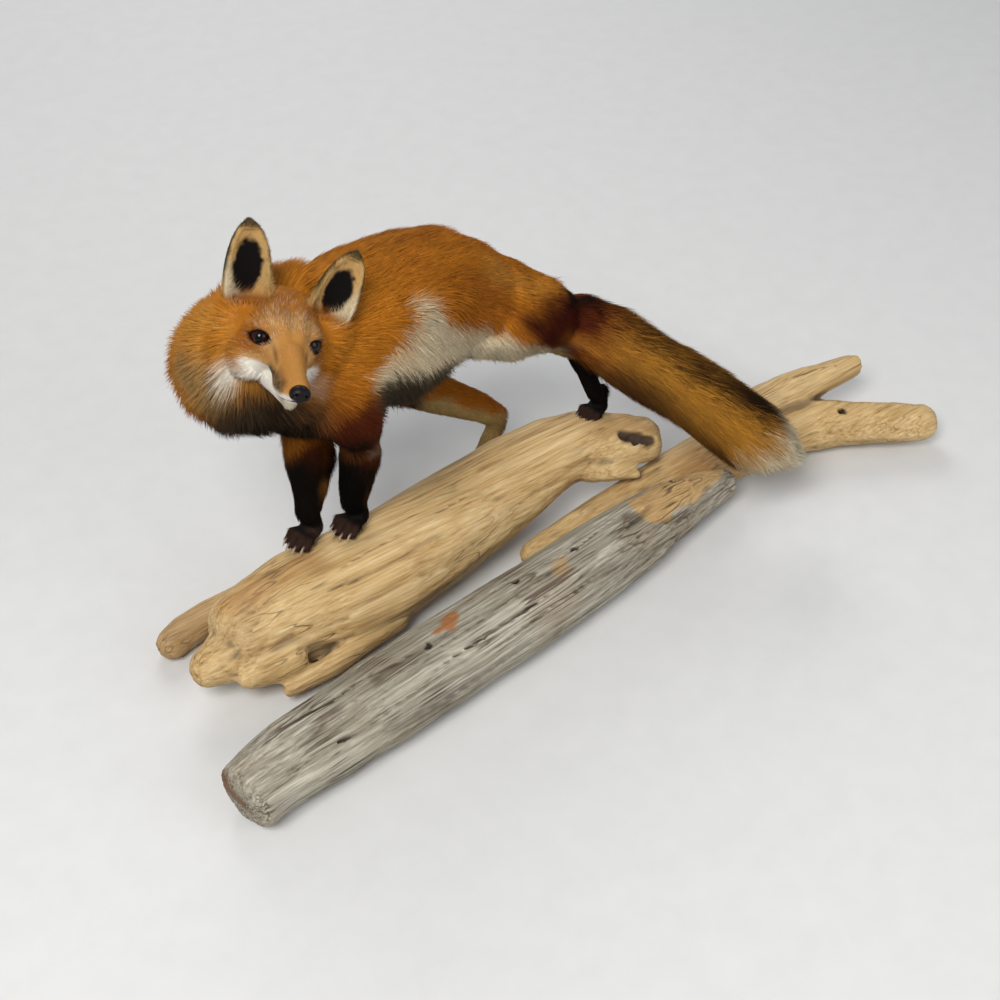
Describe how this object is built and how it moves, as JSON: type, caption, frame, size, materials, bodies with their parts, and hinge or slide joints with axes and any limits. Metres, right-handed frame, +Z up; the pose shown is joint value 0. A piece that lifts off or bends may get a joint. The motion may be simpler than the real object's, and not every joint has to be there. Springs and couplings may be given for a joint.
{
  "type": "taxidermy red fox on driftwood",
  "caption": "Life-size red fox mount standing on weathered driftwood, head turned to its left and brush laid back over the wood.",
  "frame": {"origin": "middle of the mount's footprint, on the floor under the driftwood", "axes": "+Z up; +X from the fox's head end toward its tail and the forked branch; the fox heads along -X with its left side toward -Y"},
  "size_m": [0.9216, 0.3328, 0.4767],
  "materials": {
    "coat": "dense red-orange fox fur, paler on the cheeks, throat and belly",
    "black_coat": "short black-brown fur of the stockings and feet",
    "pale_coat": "cream fur",
    "brush_coat": "long golden brown brush with black guard hairs",
    "eye": "polished dark brown glass eye",
    "nose": "black, finely pebbled, slightly moist sheen",
    "claw": "translucent horn, pale at the point",
    "tan_wood": "sanded tan driftwood with fine grain and cracks",
    "grey_wood": "weathered silver grey driftwood, deeply grooved"
  },
  "bodies": {
    "root": {"ear_left": "coat", "ear_right": "coat", "eye_left": "eye", "eye_right": "eye", "forefoot_left": "black_coat", "forefoot_left_claw_1": "claw", "forefoot_left_claw_2": "claw", "forefoot_left_claw_3": "claw", "forefoot_left_claw_4": "claw", "forefoot_right": "black_coat", "forefoot_right_claw_1": "claw", "forefoot_right_claw_2": "claw", "forefoot_right_claw_3": "claw", "forefoot_right_claw_4": "claw", "forked_branch": "tan_wood", "grey_log": "grey_wood", "head": "coat", "hindfoot_left": "black_coat", "hindfoot_left_claw_1": "claw", "hindfoot_left_claw_2": "claw", "hindfoot_left_claw_3": "claw", "hindfoot_left_claw_4": "claw", "hindfoot_right": "black_coat", "hindfoot_right_claw_1": "claw", "hindfoot_right_claw_2": "claw", "hindfoot_right_claw_3": "claw", "hindfoot_right_claw_4": "claw", "lower_foreleg_left": "black_coat", "lower_foreleg_right": "black_coat", "metatarsus_left": "black_coat", "metatarsus_right": "black_coat", "neck": "coat", "nose": "nose", "rear_branch": "tan_wood", "shank_left": "pale_coat", "shank_right": "pale_coat", "tail_base": "brush_coat", "tail_middle": "brush_coat", "tail_tip": "pale_coat", "tan_log": "tan_wood", "thigh_left": "coat", "thigh_right": "coat", "trunk": "coat", "upper_foreleg_left": "coat", "upper_foreleg_right": "coat"}
  },
  "joints": []
}
